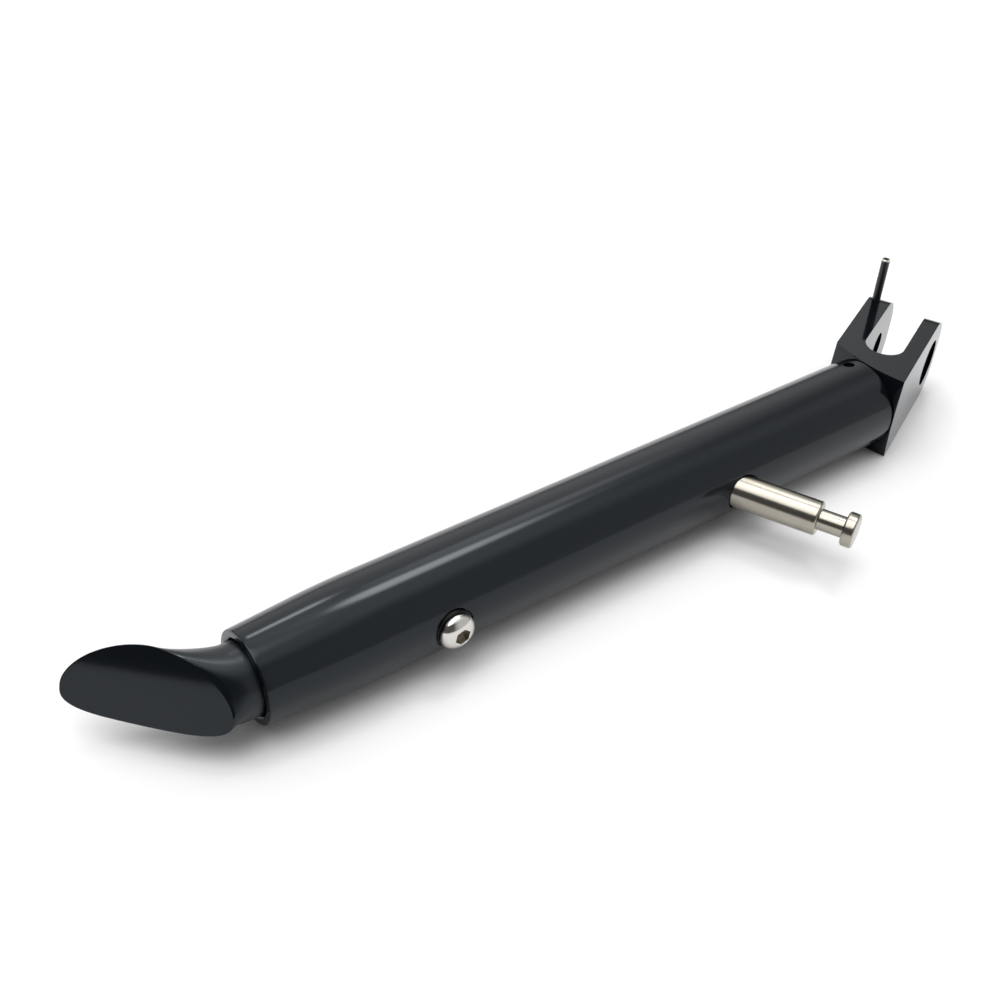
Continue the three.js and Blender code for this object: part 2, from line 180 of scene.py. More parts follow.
# ---- spring stud and switch pin ----
STUD_X = TUBE_MOUTH + 156.25
STUD_HOLE_RADIUS = 5.85
STUD_CLEAR_RADIUS = 11.2
STUD_RADIUS = 5.38
STUD_CHAMFER_RADIUS = 4.93
STUD_HEAD_EDGE_RADIUS = 4.95
STUD_GROOVE_RADIUS = 3.3
STUD_INNER_END = 4.0
STUD_CHAMFER_START = 40.05
STUD_GROOVE_START = 40.5
STUD_HEAD_BASE = 48.4
STUD_HEAD_END = 51.9
STUD_HEAD_CHAMFER = 0.4
STUD_EDGE = 0.25
PIN_RADIUS = 1.45
PIN_WALL = 0.55
PIN_EDGE = 0.2
PIN_BORE_EDGE = 0.08
PIN_HOLE_RADIUS = 1.6
PIN_HOLE_SINK = 0.4
PIN_BARE_START = 0.75
PIN_BARE_FULL = 0.45

# ---- segments round a circle, and the radius that closes a turned end ----
TINY_ROUND = 48
SMALL_ROUND = 64
PLAIN_ROUND = 96
FINE_ROUND = 128
FINER_ROUND = 160
TUBE_ROUND = 240
REAR_ROUND = 256
CENTRE_RADIUS = 0.01


# ---- mesh helpers: everything is built in millimetres and stored in metres ----
def new_object(name, bm):
    """Store a bmesh built in millimetres as an object in metres."""
    mesh = bpy.data.meshes.new(name)
    bmesh.ops.recalc_face_normals(bm, faces=bm.faces)
    bmesh.ops.scale(bm, vec=(MM, MM, MM), verts=bm.verts)
    bm.to_mesh(mesh)
    bm.free()
    obj = bpy.data.objects.new(name, mesh)
    bpy.context.scene.collection.objects.link(obj)
    return obj


def loft(name, rings, closed=False):
    """Skin a list of equal rings; open ends are capped with one face each."""
    bm = bmesh.new()
    grid = [[bm.verts.new(point) for point in ring] for ring in rings]
    pairs = list(zip(grid, grid[1:]))
    if closed:
        pairs.append((grid[-1], grid[0]))
    for low, high in pairs:
        for i in range(len(low)):
            j = (i + 1) % len(low)
            bm.faces.new((low[i], low[j], high[j], high[i]))
    if not closed:
        bm.faces.new(grid[0])
        bm.faces.new(grid[-1])
    return new_object(name, bm)


def ring(radius, level, matrix, segments):
    """Circle of points about the matrix's Z axis."""
    turn = 2 * math.pi / segments
    points = []
    for i in range(segments):
        local = Vector((radius * math.cos(i * turn), radius * math.sin(i * turn), level))
        points.append(matrix @ local)
    return points


def turned(name, profile, matrix, segments=PLAIN_ROUND, closed=False):
    """Turned part about the matrix's Z axis, from (radius, level) pairs."""
    rings = [ring(radius, level, matrix, segments) for radius, level in profile]
    return loft(name, rings, closed)


def round_cut(radius, low, high, matrix, segments=PLAIN_ROUND):
    """Plain round cutter between two levels of the matrix's Z axis."""
    return turned("cut", [(radius, low), (radius, high)], matrix, segments)


def prism(name, outline, low, high, matrix):
    """Extrude a flat outline along the matrix's Z axis."""
    rings = []
    for level in (low, high):
        rings.append([matrix @ Vector((x, y, level)) for x, y in outline])
    return loft(name, rings)


def arc(cx, cy, radius, start, end, steps):
    """Points on an arc, angles in degrees."""
    points = []
    for i in range(steps + 1):
        angle = math.radians(start + (end - start) * i / steps)
        points.append((cx + radius * math.cos(angle), cy + radius * math.sin(angle)))
    return points


def soft_profile(corners, radius, steps=4):
    """Round every inner corner of a (radius, level) profile."""
    points = [corners[0]]
    for before, here, after in zip(corners, corners[1:], corners[2:]):
        p, c, n = Vector(before), Vector(here), Vector(after)
        reach = min(radius, (p - c).length * 0.45, (n - c).length * 0.45)
        start = c + (p - c).normalized() * reach
        end = c + (n - c).normalized() * reach
        for i in range(steps + 1):
            t = i / steps
            point = start.lerp(c, t).lerp(c.lerp(end, t), t)
            points.append((point.x, point.y))
    points.append(corners[-1])
    return points


def radial(x, angle_deg):
    """Frame whose Z axis leaves the tube axis at x, at an angle from +Y towards +Z."""
    angle = math.radians(angle_deg)
    outward = Vector((0, math.cos(angle), math.sin(angle)))
    across = Vector((1, 0, 0))
    third = outward.cross(across)
    basis = Matrix((across, third, outward)).transposed().to_4x4()
    return Matrix.Translation((x, AXIS_Y, AXIS_Z)) @ basis


def along_stud():
    """Frame whose Z axis is the stud, square to the fork's ears."""
    basis = Matrix((ALONG, UP, ACROSS)).transposed().to_4x4()
    return Matrix.Translation((STUD_X, AXIS_Y, AXIS_Z)) @ basis


def along_tube():
    """Frame whose Z axis is the tube axis, towards the fork."""
    basis = Matrix(((0, 1, 0), (0, 0, 1), (1, 0, 0))).transposed().to_4x4()
    return Matrix.Translation((0, AXIS_Y, AXIS_Z)) @ basis


def apply_modifiers(obj):
    """Bake the object's modifiers into its mesh."""
    graph = bpy.context.evaluated_depsgraph_get()
    mesh = bpy.data.meshes.new_from_object(obj.evaluated_get(graph))
    old = obj.data
    obj.modifiers.clear()
    obj.data = mesh
    mesh.name = obj.name
    bpy.data.meshes.remove(old)


def combine(obj, others, operation="DIFFERENCE"):
    """Boolean obj with each of the others, which are used up."""
    for other in others:
        modifier = obj.modifiers.new("cut", "BOOLEAN")
        modifier.operation = operation
        modifier.solver = "EXACT"
        modifier.object = other
        apply_modifiers(obj)
        bpy.data.objects.remove(other)
    return obj


def break_edges(obj, width, segments=2, angle=35.0):
    """Small rounded edges on every corner sharper than the angle."""
    modifier = obj.modifiers.new("edge", "BEVEL")
    modifier.width = width * MM
    modifier.segments = segments
    modifier.limit_method = "ANGLE"
    modifier.angle_limit = math.radians(angle)
    modifier.use_clamp_overlap = True
    apply_modifiers(obj)
    return obj


def shade(obj, angle=32.0):
    """Smooth shading that keeps flat faces flat right up to their rounded edges."""
    for polygon in obj.data.polygons:
        polygon.use_smooth = True
    obj.data.set_sharp_from_angle(angle=math.radians(angle))
    modifier = obj.modifiers.new("normals", "WEIGHTED_NORMAL")
    modifier.mode = "FACE_AREA"
    modifier.keep_sharp = True
    apply_modifiers(obj)
    return obj


def hex_outline(flats, first_corner):
    """Hexagon by its width across flats, first corner in degrees."""
    corner = flats / math.sqrt(3)
    points = []
    for i in range(6):
        angle = math.radians(60 * i + first_corner)
        points.append((corner * math.cos(angle), corner * math.sin(angle)))
    return points


# ---- main tube ----
def taper_radius(x):
    """Outer radius of the tube at a distance x from its mouth."""
    if x >= TAPER_LENGTH + TAPER_BLEND:
        return TUBE_RADIUS
    curve = TAPER_SLOPE / (2 * TAPER_BLEND)
    if x >= TAPER_LENGTH:
        return TUBE_RADIUS - curve * (TAPER_LENGTH + TAPER_BLEND - x) ** 2
    return TUBE_RADIUS - curve * TAPER_BLEND ** 2 - TAPER_SLOPE * (TAPER_LENGTH - x)


def make_tube():
    chamfer = TUBE_CHAMFER
    length = TUBE_END - TUBE_MOUTH
    start = [(taper_radius(0) - chamfer, 0)]
    lip = chamfer * 0.3
    start.append((taper_radius(0) - lip, lip))
    start.append((taper_radius(chamfer), chamfer))
    count = int(length / RING_STEP)
    middle = []
    for i in range(1, count):
        x = chamfer + (length - 2 * chamfer) * i / count
        middle.append((taper_radius(x), x))
    end = [(TUBE_RADIUS, length - chamfer), (TUBE_RADIUS - chamfer, length)]
    bore = [(BORE_RADIUS + BORE_END_CHAMFER, length), (BORE_RADIUS, length - BORE_END_CHAMFER)]
    bore += [(BORE_RADIUS, length * share) for share in (0.75, 0.5, 0.25)]
    bore += [(BORE_RADIUS, BORE_MOUTH_CHAMFER), (BORE_RADIUS + BORE_MOUTH_CHAMFER, 0)]
    profile = [(radius, TUBE_MOUTH + x) for radius, x in start + middle + end + bore]
    tube = turned("tube_shell", profile, along_tube(), TUBE_ROUND, closed=True)
    inside = 5
    outside = TUBE_RADIUS + 5
    past_wall = 30
    cutters = [
        round_cut(LOCK_SPOT_RADIUS, LOCK_SPOT_FLOOR, outside, radial(LOCK_X, LOCK_ANGLE)),
        round_cut(LOCK_HOLE_RADIUS, inside, outside, radial(LOCK_X, LOCK_ANGLE)),
        round_cut(STUD_HOLE_RADIUS, STUD_INNER_END, past_wall, along_stud(), FINER_ROUND),
        round_cut(GRUB_HOLE_RADIUS, inside, outside, radial(GRUB_X, GRUB_ANGLE), SMALL_ROUND),
    ]
    combine(tube, cutters)
    return shade(tube)


# ---- foot ----
def on_face(side, rise):
    """Point in the ground face, from the middle of the pad's outline."""
    base = MOUTH + FACE_NORMAL * FACE_DISTANCE
    return base + FACE_SIDE * (RIM_SIDE_OFFSET + side) + FACE_RISE * (RIM_RISE_OFFSET + rise)


def rim_point(angle):
    """Rounded outline of the pad, fuller above its long axis than below it."""
    side, rise = math.cos(angle), math.sin(angle)
    across = RIM_NEAR_REACH if side > 0 else RIM_FAR_REACH
    height = RIM_TOP_REACH if rise > 0 else RIM_BOTTOM_REACH
    power = RIM_TOP_POWER if rise > 0 else RIM_BOTTOM_POWER
    total = abs(side / across) ** power + abs(rise / height) ** power
    reach = total ** (-1 / power)
    return on_face(reach * math.cos(angle + RIM_TILT), reach * math.sin(angle + RIM_TILT))


def shaft_angle(face_angle):
    """Direction seen along the shaft of a direction in the ground face."""
    spoke = FACE_SIDE * math.cos(face_angle) + FACE_RISE * math.sin(face_angle)
    return math.atan2(spoke.z, spoke.y)


def shaft_ring(radius, level, turns):
    """Ring about the tube axis with a point at each of the turns."""
    points = []
    for turn in turns:
        y = AXIS_Y + radius * math.cos(turn)
        z = AXIS_Z + radius * math.sin(turn)
        points.append(Vector((level, y, z)))
    return points


def neck_point(share, face_angle):
    """Point on the neck; share runs from the shaft to the rim of the pad."""
    turn = shaft_angle(face_angle)
    y = AXIS_Y + SHAFT_RADIUS * math.cos(turn)
    z = AXIS_Z + SHAFT_RADIUS * math.sin(turn)
    end = rim_point(face_angle)
    farness = max(0.0, -math.cos(face_angle))
    bend = share ** (NECK_POWER + (NECK_FAR_POWER - NECK_POWER) * farness)
    x = NECK_START + (end.x - NECK_START) * share
    return Vector((x, y + (end.y - y) * bend, z + (end.z - z) * bend))


def make_foot():
    angles = [2 * math.pi * i / TUBE_ROUND for i in range(TUBE_ROUND)]
    turns = [shaft_angle(angle) for angle in angles]
    rings = [shaft_ring(SHAFT_RADIUS - SHAFT_CHAMFER, SHAFT_END, turns)]
    count = 60
    for i in range(count):
        level = SHAFT_END - SHAFT_CHAMFER + (NECK_START - SHAFT_END + SHAFT_CHAMFER) * i / count
        rings.append(shaft_ring(SHAFT_RADIUS, level, turns))
    last_bit = 0.02
    lasts = []
    for angle in angles:
        near_rim = (neck_point(1.0, angle) - neck_point(1.0 - last_bit, angle)).length / last_bit
        lasts.append(1.0 - RIM_ROUNDING / near_rim)
    steps = 64
    for i in range(steps + 1):
        rings.append([neck_point(last * i / steps, angle) for last, angle in zip(lasts, angles)])
    middle = on_face(0, 0)
    starts = rings[-1]
    corners = [rim_point(angle) for angle in angles]
    ends = [corner + (middle - corner).normalized() * RIM_ROUNDING for corner in corners]
    rim_steps = 5
    for i in range(1, rim_steps + 1):
        t = i / rim_steps
        sides = zip(starts, corners, ends)
        rings.append([start.lerp(c, t).lerp(c.lerp(end, t), t) for start, c, end in sides])
    foot = loft("foot_pad", rings)
    half = KEYWAY_WIDTH / 2
    end_steps = 24
    outline = arc(0, 0, half, 270, 90, end_steps)
    outline += arc(KEYWAY_TRAVEL, 0, half, 90, -90, end_steps)
    keyway = prism("cut", outline, KEYWAY_FLOOR, SHAFT_RADIUS + 3, radial(LOCK_X, LOCK_ANGLE))
    combine(foot, [keyway])
    return shade(foot, FOOT_SMOOTH_ANGLE)


# ---- fork ----
def fork_frame(x_axis, y_axis, z_axis):
    """Frame at the fork's near, top, rear corner with the axes given."""
    basis = Matrix((x_axis, y_axis, z_axis)).transposed().to_4x4()
    return Matrix.Translation(FORK_CORNER) @ basis


def nose_cutter(reach, side_low, side_high):
    """Everything beyond the rounded nose of one ear."""
    centre = reach - NOSE_RADIUS
    margin = 2.0
    far = reach + 12
    outline = [(centre, margin), (far, margin)]
    outline += [(far, -FORK_HEIGHT - margin), (centre, -FORK_HEIGHT - margin)]
    steps = 28
    outline += arc(centre, -FORK_HEIGHT + NOSE_RADIUS, NOSE_RADIUS, -90, 0, steps)
    outline += arc(centre, -NOSE_RADIUS, NOSE_RADIUS, 0, 90, steps)
    return prism("cut", outline, side_low, side_high, fork_frame(ALONG, UP, ACROSS))


def make_fork():
    half = SLOT_WIDTH / 2
    bend = SLOT_BOTTOM + half
    behind = -12
    outline = [(0, behind), (0, SHORT_EAR), (-SLOT_CENTRE + half, SHORT_EAR)]
    outline += arc(-SLOT_CENTRE, bend, half, 0, -180, SMALL_ROUND)
    outline += [(-SLOT_CENTRE - half, LONG_EAR), (-FORK_WIDTH, LONG_EAR), (-FORK_WIDTH, behind)]
    plan = fork_frame(ACROSS, ALONG, UP)
    fork = prism("fork_block", outline, -FORK_HEIGHT, 0, plan)
    wide = 60.0
    rear = [(CENTRE_RADIUS, REAR_PLANE - wide), (wide, REAR_PLANE - wide)]
    rear += [(wide, REAR_PLANE + REAR_SLOPE * (wide - TUBE_RADIUS))]
    rear += [(TUBE_RADIUS, REAR_PLANE), (CENTRE_RADIUS, REAR_PLANE)]
    side = fork_frame(ALONG, UP, ACROSS)
    pivot = side @ Matrix.Translation((PIVOT_REACH, -FORK_HEIGHT / 2, 0))
    past = 6
    pivot_past = 10
    combine(fork, [
        nose_cutter(SHORT_EAR, -SLOT_CENTRE, past),
        nose_cutter(LONG_EAR, -FORK_WIDTH - past, -SLOT_CENTRE),
        round_cut(PIVOT_RADIUS, -SLOT_CENTRE, pivot_past, pivot, FINER_ROUND),
        round_cut(PIVOT_FAR_RADIUS, -FORK_WIDTH - pivot_past, -SLOT_CENTRE, pivot, FINE_ROUND),
        turned("cut", rear, along_tube(), REAR_ROUND),
    ])
    break_edges(fork, FORK_EDGE, segments=3)
    spigot_end = REAR_PLANE - SPIGOT_LENGTH
    spigot = [(SPIGOT_RADIUS - SPIGOT_CHAMFER, spigot_end)]
    overlap = 4
    spigot += [(SPIGOT_RADIUS, spigot_end + SPIGOT_CHAMFER), (SPIGOT_RADIUS, REAR_PLANE + overlap)]
    combine(fork, [turned("join", spigot, along_tube(), FINE_ROUND)], "UNION")
    above = 20
    grub_hole = radial(GRUB_X, GRUB_ANGLE)
    pin_hole = Matrix.Translation((PIN_X, PIN_Y, 0))
    combine(fork, [
        round_cut(GRUB_HOLE_RADIUS, GRUB_HOLE_FLOOR, above, grub_hole, SMALL_ROUND),
        round_cut(PIN_HOLE_RADIUS, PIN_FOOT - PIN_HOLE_SINK, PIN_TIP, pin_hole, TINY_ROUND),
    ])
    return shade(fork)


# ---- hardware ----
def make_stud():
    corners = [
        (CENTRE_RADIUS, STUD_INNER_END),
        (STUD_RADIUS, STUD_INNER_END),
        (STUD_RADIUS, STUD_CHAMFER_START),
        (STUD_CHAMFER_RADIUS, STUD_GROOVE_START),
        (STUD_GROOVE_RADIUS, STUD_GROOVE_START),
        (STUD_GROOVE_RADIUS, STUD_HEAD_BASE),
        (STUD_HEAD_EDGE_RADIUS, STUD_HEAD_BASE),
        (STUD_RADIUS, STUD_HEAD_BASE + STUD_HEAD_CHAMFER),
        (STUD_RADIUS, STUD_HEAD_END - STUD_HEAD_CHAMFER),
        (STUD_HEAD_EDGE_RADIUS, STUD_HEAD_END),
        (CENTRE_RADIUS, STUD_HEAD_END),
    ]
    stud = turned("stud_post", soft_profile(corners, STUD_EDGE), along_stud(), FINER_ROUND)
    low, high = STUD_X - 30, STUD_X + 30
    combine(stud, [round_cut(STUD_CLEAR_RADIUS, low, high, along_tube(), FINER_ROUND)])
    return shade(stud)


def make_lock_screw():
    base, radius = LOCK_HEAD_BASE, LOCK_HEAD_RADIUS
    top = base + LOCK_HEAD_HEIGHT
    profile = [(CENTRE_RADIUS, LOCK_TIP), (LOCK_TIP_RADIUS, LOCK_TIP)]
    profile += [(LOCK_SHANK_RADIUS, LOCK_TIP_CHAMFER_END), (LOCK_SHANK_RADIUS, base)]
    profile += [(radius - LOCK_HEAD_EDGE_INSET, base), (radius, base + LOCK_HEAD_EDGE_RISE)]
    profile.append((radius, base + LOCK_HEAD_RIM))
    steps = 22
    for i in range(1, steps + 1):
        angle = LOCK_HEAD_SWEEP * i / steps
        rise = (LOCK_HEAD_HEIGHT - LOCK_HEAD_RIM) * math.sin(angle) / math.sin(LOCK_HEAD_SWEEP)
        profile.append((radius * math.cos(angle), base + LOCK_HEAD_RIM + rise))
    profile.append((CENTRE_RADIUS, top))
    place = radial(LOCK_X, LOCK_ANGLE)
    screw = turned("button_screw", profile, place, FINE_ROUND)
    hexagon = hex_outline(LOCK_HEX_FLATS, LOCK_HEX_CORNER)
    socket = prism("cut", hexagon, top - LOCK_HEX_DEPTH, top + 1, place)
    drill = [(CENTRE_RADIUS, top - LOCK_DRILL_POINT), (LOCK_DRILL_RADIUS, top - LOCK_DRILL_DEPTH)]
    drill.append((LOCK_DRILL_RADIUS, top + 1))
    cone = turned("cut", drill, place, SMALL_ROUND)
    combine(screw, [socket, cone])
    break_edges(screw, LOCK_EDGE, angle=LOCK_EDGE_ANGLE)
    return shade(screw)


def make_washer():
    base, top = WASHER_BASE, WASHER_TOP
    inner, outer, edge = WASHER_INNER, WASHER_OUTER, WASHER_EDGE
    profile = [(inner, base + edge), (inner + edge, base), (outer - edge, base)]
    profile += [(outer, base + edge), (outer, top - edge), (outer - edge, top)]
    profile += [(inner + edge, top), (inner, top - edge)]
    place = radial(LOCK_X, LOCK_ANGLE)
    washer = turned("split_washer", profile, place, FINE_ROUND, closed=True)
    half, past = WASHER_HALF_SPLIT, -outer - 2
    gap = [(-half, 0), (half, 0), (half, past), (-half, past)]
    combine(washer, [prism("cut", gap, base - 2, top + 2, place)])
    return shade(washer)


def make_grub():
    corners = [(CENTRE_RADIUS, GRUB_TIP), (GRUB_RADIUS, GRUB_TIP)]
    corners += [(GRUB_RADIUS, GRUB_TOP), (CENTRE_RADIUS, GRUB_TOP)]
    place = radial(GRUB_X, GRUB_ANGLE)
    grub = turned("grub_screw", soft_profile(corners, GRUB_EDGE), place, SMALL_ROUND)
    hexagon = hex_outline(GRUB_HEX_FLATS, GRUB_HEX_CORNER)
    combine(grub, [prism("cut", hexagon, GRUB_HEX_FLOOR, GRUB_TOP + 1, place)])
    return shade(grub)


def make_pin():
    radius, bore, edge = PIN_RADIUS, PIN_RADIUS - PIN_WALL, PIN_EDGE
    low, high = PIN_FOOT, PIN_TIP
    profile = [(bore, low), (radius - edge, low), (radius, low + edge)]
    profile += [(radius, high - edge), (radius - edge, high)]
    profile += [(bore + PIN_BORE_EDGE, high), (bore, high - PIN_BORE_EDGE)]
    place = Matrix.Translation((PIN_X, PIN_Y, 0))
    pin = turned("roll_pin", profile, place, SMALL_ROUND, closed=True)
    return shade(pin)


# ---- materials: colours are linear, noise scales per metre, relief in metres ----
ANODISE_DARK = (0.0028, 0.0040, 0.0054)
ANODISE_LIGHT = (0.0042, 0.0058, 0.0076)
ANODISE_SHEEN = (0.86, 0.94, 1.0, 1.0)
ANODISE_CLOUDS = 38.0
ANODISE_GRAIN = 5200.0
ANODISE_RELIEF = 0.000004
STEEL_CLOUDS = 160.0
STEEL_RELIEF = 0.00001
OXIDE_DARK = (0.002, 0.002, 0.0025)
OXIDE_LIGHT = (0.006, 0.006, 0.007)
OXIDE_CLOUDS = 420.0
OXIDE_RELIEF = 0.00001
PIN_BLACK = (0.014, 0.016, 0.018)
PIN_BARE_STEEL = (0.66, 0.64, 0.58)
PIN_CLOUDS = 900.0
PIN_RELIEF = 0.000002
TABLE_DARK = (0.93, 0.93, 0.935)
TABLE_LIGHT = (0.95, 0.95, 0.955)
TABLE_CLOUDS = 30.0


def new_material(name):
    material = bpy.data.materials.new(name)
    material.use_nodes = True
    return material, material.node_tree, material.node_tree.nodes["Principled BSDF"]


def link(tree, source, target):
    tree.links.new(source, target)


def object_position(tree):
    return tree.nodes.new("ShaderNodeTexCoord").outputs["Object"]


def noise(tree, position, scale, detail=3.0):
    node = tree.nodes.new("ShaderNodeTexNoise")
    node.inputs["Scale"].default_value = scale
    node.inputs["Detail"].default_value = detail
    link(tree, position, node.inputs["Vector"])
    return node.outputs["Fac"]


def spread(tree, value, low, high):
    """Map a 0 to 1 value onto a range."""
    node = tree.nodes.new("ShaderNodeMapRange")
    node.inputs["To Min"].default_value = low
    node.inputs["To Max"].default_value = high
    link(tree, value, node.inputs["Value"])
    return node.outputs["Result"]


def ramp(tree, value, start, end, last=1.0, first=0.0):
    """From the first value at start to the last value at end."""
    node = tree.nodes.new("ShaderNodeMapRange")
    node.inputs["From Min"].default_value = start
    node.inputs["From Max"].default_value = end
    node.inputs["To Min"].default_value = first
    node.inputs["To Max"].default_value = last
    link(tree, value, node.inputs["Value"])
    return node.outputs["Result"]


def along_axis(tree, position, axis):
    """How far a position lies along an axis."""
    node = tree.nodes.new("ShaderNodeVectorMath")
    node.operation = "DOT_PRODUCT"
    node.inputs[1].default_value = axis
    link(tree, position, node.inputs[0])
    return node.outputs["Value"]


def product(tree, first, second):
    """Two values multiplied."""
    node = tree.nodes.new("ShaderNodeMath")
    node.operation = "MULTIPLY"
    link(tree, first, node.inputs[0])
    link(tree, second, node.inputs[1])
    return node.outputs["Value"]


def bump(tree, shader, height, distance, strength=1.0):
    """Surface relief from a height value."""
    node = tree.nodes.new("ShaderNodeBump")
    node.inputs["Distance"].default_value = distance
    node.inputs["Strength"].default_value = strength
    link(tree, height, node.inputs["Height"])
    link(tree, node.outputs["Normal"], shader.inputs["Normal"])


def tinted(tree, value, dark, light):
    """Blend between two colours by a 0 to 1 value."""
    node = tree.nodes.new("ShaderNodeMix")
    node.data_type = "RGBA"
    node.inputs["A"].default_value = (*dark, 1)
    node.inputs["B"].default_value = (*light, 1)
    link(tree, value, node.inputs["Factor"])
    return node.outputs["Result"]


def black_anodised(name, rough_low, rough_high, gloss_index):
    """Black dyed aluminium with a slightly cool sheen and a fine grain."""
    material, tree, shader = new_material(name)
    position = object_position(tree)
    clouds = noise(tree, position, ANODISE_CLOUDS)
    grain = noise(tree, position, ANODISE_GRAIN, detail=2.0)
    colour = tinted(tree, clouds, ANODISE_DARK, ANODISE_LIGHT)
    link(tree, colour, shader.inputs["Base Color"])
    link(tree, spread(tree, clouds, rough_low, rough_high), shader.inputs["Roughness"])
    shader.inputs["IOR"].default_value = gloss_index
    shader.inputs["Specular Tint"].default_value = ANODISE_SHEEN
    bump(tree, shader, grain, ANODISE_RELIEF, strength=0.5)
    return material


def polished_face(material, low, high):
    """Smooth the flat ground face: the neck's roughness and grain times low / high."""
    tree = material.node_tree
    shader = tree.nodes["Principled BSDF"]
    rough = shader.inputs["Roughness"].links[0].from_socket
    depth = along_axis(tree, object_position(tree), FACE_NORMAL)
    level = FACE_NORMAL.dot(MOUTH) + FACE_DISTANCE
    start, end = (level - POLISH_START) * MM, (level - POLISH_END) * MM
    calmed = ramp(tree, depth, start, end, low / high, 1.0)
    link(tree, product(tree, rough, calmed), shader.inputs["Roughness"])
    grain = shader.inputs["Normal"].links[0].from_node
    full_strength = tree.nodes.new("ShaderNodeValue").outputs["Value"]
    full_strength.default_value = grain.inputs["Strength"].default_value
    link(tree, product(tree, calmed, full_strength), grain.inputs["Strength"])
    return material


def steel(name, dark, light, rough_low, rough_high, axis, ring_scale):
    """Bright steel with fine rings left by turning about an axis of the part frame."""
    material, tree, shader = new_material(name)
    position = object_position(tree)
    line = tree.nodes.new("ShaderNodeCombineXYZ")
    link(tree, along_axis(tree, position, axis), line.inputs["X"])
    rings = noise(tree, line.outputs["Vector"], ring_scale, detail=4.0)
    clouds = noise(tree, position, STEEL_CLOUDS)
    link(tree, tinted(tree, clouds, dark, light), shader.inputs["Base Color"])
    link(tree, spread(tree, rings, rough_low, rough_high), shader.inputs["Roughness"])
    shader.inputs["Metallic"].default_value = 1.0
    bump(tree, shader, rings, STEEL_RELIEF, strength=0.35)
    return material


def paint_socket_shade(material, unpolished_and_shade_colour):
    """Paint shade into the lock screw's socket: its colour is made darker than the polished head,
    partly for unpolished steel and partly as painted shade in the recess.
    """
    tree = material.node_tree
    shader = tree.nodes["Principled BSDF"]
    polished = shader.inputs["Base Color"].links[0].from_socket
    position = object_position(tree)
    flat = tree.nodes.new("ShaderNodeVectorMath")
    flat.operation = "MULTIPLY"
    flat.inputs[1].default_value = (1, 0, 1)
    link(tree, position, flat.inputs[0])
    reach = tree.nodes.new("ShaderNodeVectorMath")
    reach.operation = "DISTANCE"
    reach.inputs[1].default_value = (LOCK_X * MM, 0, AXIS_Z * MM)
    link(tree, flat.outputs["Vector"], reach.inputs[0])
    near = ramp(tree, reach.outputs["Value"], SOCKET_OUTER_EDGE * MM, SOCKET_INNER_EDGE * MM)
    side = tree.nodes.new("ShaderNodeSeparateXYZ")
    link(tree, position, side.inputs["Vector"])
    head_top = AXIS_Y - LOCK_HEAD_BASE - LOCK_HEAD_HEIGHT
    start, end = (head_top + SOCKET_SHADE_START) * MM, (head_top + SOCKET_SHADE_END) * MM
    deep = ramp(tree, side.outputs["Y"], start, end)
    # painted shade: the socket's colour blends towards the darker colour inside the recess
    blend = tree.nodes.new("ShaderNodeMix")
    blend.data_type = "RGBA"
    blend.inputs["B"].default_value = (*unpolished_and_shade_colour, 1)
    link(tree, polished, blend.inputs["A"])
    link(tree, product(tree, near, deep), blend.inputs["Factor"])
    link(tree, blend.outputs["Result"], shader.inputs["Base Color"])
    return material


def black_oxide(name):
    """Matt black coating of the small steel parts."""
    material, tree, shader = new_material(name)
    position = object_position(tree)
    clouds = noise(tree, position, OXIDE_CLOUDS)
    colour = tinted(tree, clouds, OXIDE_DARK, OXIDE_LIGHT)
    link(tree, colour, shader.inputs["Base Color"])
    link(tree, spread(tree, clouds, 0.36, 0.5), shader.inputs["Roughness"])
    shader.inputs["IOR"].default_value = 1.3
    bump(tree, shader, clouds, OXIDE_RELIEF, strength=0.4)
    return material


def coated_pin(name):
    """Black oxide worn to bare steel around the tip."""
    material, tree, shader = new_material(name)
    position = object_position(tree)
    height = tree.nodes.new("ShaderNodeSeparateXYZ")
    link(tree, position, height.inputs["Vector"])
    start, end = (PIN_TIP - PIN_BARE_START) * MM, (PIN_TIP - PIN_BARE_FULL) * MM
    bare = ramp(tree, height.outputs["Z"], start, end)
    colour = tinted(tree, bare, PIN_BLACK, PIN_BARE_STEEL)
    link(tree, colour, shader.inputs["Base Color"])
    link(tree, bare, shader.inputs["Metallic"])
    clouds = noise(tree, position, PIN_CLOUDS)
    link(tree, spread(tree, clouds, 0.24, 0.34), shader.inputs["Roughness"])
    bump(tree, shader, clouds, PIN_RELIEF, strength=0.2)
    return material


def table_surface():
    """Pale, nearly matt table top."""
    material, tree, shader = new_material("table_surface")
    position = object_position(tree)
    clouds = noise(tree, position, TABLE_CLOUDS)
    colour = tinted(tree, clouds, TABLE_DARK, TABLE_LIGHT)
    link(tree, colour, shader.inputs["Base Color"])
    shader.inputs["Roughness"].default_value = 0.7
    shader.inputs["Specular IOR Level"].default_value = 0.1
    return material


# ---- assembly ----
def mount_piece(obj, node, body, material):
    """Give a piece its material and its place in the part."""
    obj.data.materials.clear()
    obj.data.materials.append(material)
    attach(obj, body)
    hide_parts(node)


